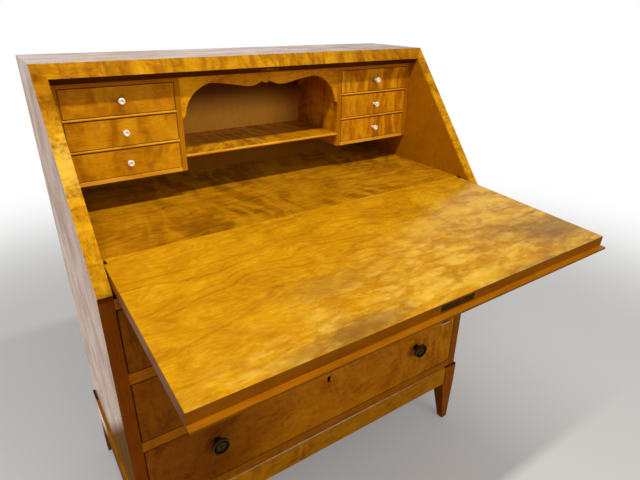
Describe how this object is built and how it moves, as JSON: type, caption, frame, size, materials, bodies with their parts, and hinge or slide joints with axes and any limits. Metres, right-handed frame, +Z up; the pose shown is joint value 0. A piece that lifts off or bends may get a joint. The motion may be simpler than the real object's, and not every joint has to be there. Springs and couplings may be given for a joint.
{
  "type": "slant-front writing bureau",
  "caption": "Slant-front bureau on tapered legs: long drawers below a pivoted fall, and behind it a gallery with small drawers, a shelf and a scalloped valance.",
  "frame": {"origin": "on the floor, midway across, midway between the lip of the open fall and the back", "axes": "+Z up, +X to the right of someone facing the drawers, +Y from the front to the back"},
  "size_m": [0.91, 0.7822, 1.054],
  "materials": {
    "birch_gold": "gloss lacquer over golden flame veneer",
    "birch_flame": "gloss lacquer over flame veneer",
    "birch_dark": "gloss lacquer over orange-brown veneer",
    "birch_red": "gloss lacquer over red-brown wood",
    "inside_wood": "plain wood, waxed",
    "bronze": "dark patina, worn brighter on the rim",
    "lock_metal": "dark, lightly worn",
    "cream": "smooth, cream"
  },
  "bodies": {
    "case": {"side_left": "birch_dark", "side_right": "birch_dark", "top_panel": "birch_dark", "top_rail": "birch_flame", "slant_lipping_left": "birch_flame", "slant_lipping_right": "birch_flame", "strike_plate": "lock_metal", "back_panel": "inside_wood", "bottom_board": "birch_dark", "writing_board": "birch_gold", "fall_rail": "birch_dark", "drawer_rail_upper": "birch_dark", "drawer_rail_lower": "birch_dark", "drawer_runners": "inside_wood", "drawer_stops": "inside_wood", "pivot_plates": "lock_metal", "apron_front": "birch_dark", "apron_back": "birch_dark", "aprons_side": "birch_dark", "legs_front": "birch_red", "legs_back": "birch_red", "corner_blocks": "inside_wood", "gallery_partitions": "birch_gold", "gallery_floors": "birch_gold", "gallery_ceilings": "birch_gold", "gallery_dividers": "birch_gold", "gallery_shelf": "birch_gold", "valance": "birch_flame"},
    "fall": {"fall_panel": "birch_gold", "fall_lock": "lock_metal", "pivot_bushes": "lock_metal"},
    "fall_latch": {"fall_bolt": "lock_metal"},
    "top_drawer": {"top_drawer_front": "birch_dark", "top_drawer_box": "inside_wood", "top_drawer_pulls": "bronze", "top_drawer_lock": "lock_metal"},
    "top_latch": {"top_drawer_bolt": "lock_metal"},
    "middle_drawer": {"middle_drawer_front": "birch_dark", "middle_drawer_box": "inside_wood", "middle_drawer_pulls": "bronze", "middle_drawer_lock": "lock_metal"},
    "middle_latch": {"middle_drawer_bolt": "lock_metal"},
    "bottom_drawer": {"bottom_drawer_front": "birch_dark", "bottom_drawer_box": "inside_wood", "bottom_drawer_pulls": "bronze", "bottom_drawer_lock": "lock_metal"},
    "bottom_latch": {"bottom_drawer_bolt": "lock_metal"},
    "small_left_bottom": {"small_drawer_left_bottom": "birch_flame", "small_knob_left_bottom": "cream"},
    "small_right_bottom": {"small_drawer_right_bottom": "birch_flame", "small_knob_right_bottom": "cream"},
    "small_left_middle": {"small_drawer_left_middle": "birch_flame", "small_knob_left_middle": "cream"},
    "small_right_middle": {"small_drawer_right_middle": "birch_flame", "small_knob_right_middle": "cream"},
    "small_left_top": {"small_drawer_left_top": "birch_flame", "small_knob_left_top": "cream"},
    "small_right_top": {"small_drawer_right_top": "birch_flame", "small_knob_right_top": "cream"}
  },
  "joints": [
    {"name": "fall_hinge", "type": "hinge", "parent": "case", "child": "fall", "pos_m": [0, -0.03806, 0.75404], "axis": [1, 0, 0], "range_deg": [-131.81, 0]},
    {"name": "fall_latch_slide", "type": "slide", "parent": "fall", "child": "fall_latch", "axis": [0, -0.9986, -0.0523], "range_m": [0, 0.01]},
    {"name": "top_drawer_slide", "type": "slide", "parent": "case", "child": "top_drawer", "axis": [0, -1, 0], "range_m": [0, 0.3]},
    {"name": "top_latch_slide", "type": "slide", "parent": "top_drawer", "child": "top_latch", "axis": [0, 0, 1], "range_m": [0, 0.007]},
    {"name": "middle_drawer_slide", "type": "slide", "parent": "case", "child": "middle_drawer", "axis": [0, -1, 0], "range_m": [0, 0.3]},
    {"name": "middle_latch_slide", "type": "slide", "parent": "middle_drawer", "child": "middle_latch", "axis": [0, 0, 1], "range_m": [0, 0.007]},
    {"name": "bottom_drawer_slide", "type": "slide", "parent": "case", "child": "bottom_drawer", "axis": [0, -1, 0], "range_m": [0, 0.3]},
    {"name": "bottom_latch_slide", "type": "slide", "parent": "bottom_drawer", "child": "bottom_latch", "axis": [0, 0, 1], "range_m": [0, 0.007]},
    {"name": "small_left_bottom_slide", "type": "slide", "parent": "case", "child": "small_left_bottom", "axis": [0, -1, 0], "range_m": [0, 0.12]},
    {"name": "small_right_bottom_slide", "type": "slide", "parent": "case", "child": "small_right_bottom", "axis": [0, -1, 0], "range_m": [0, 0.12]},
    {"name": "small_left_middle_slide", "type": "slide", "parent": "case", "child": "small_left_middle", "axis": [0, -1, 0], "range_m": [0, 0.12]},
    {"name": "small_right_middle_slide", "type": "slide", "parent": "case", "child": "small_right_middle", "axis": [0, -1, 0], "range_m": [0, 0.12]},
    {"name": "small_left_top_slide", "type": "slide", "parent": "case", "child": "small_left_top", "axis": [0, -1, 0], "range_m": [0, 0.12]},
    {"name": "small_right_top_slide", "type": "slide", "parent": "case", "child": "small_right_top", "axis": [0, -1, 0], "range_m": [0, 0.12]}
  ]
}
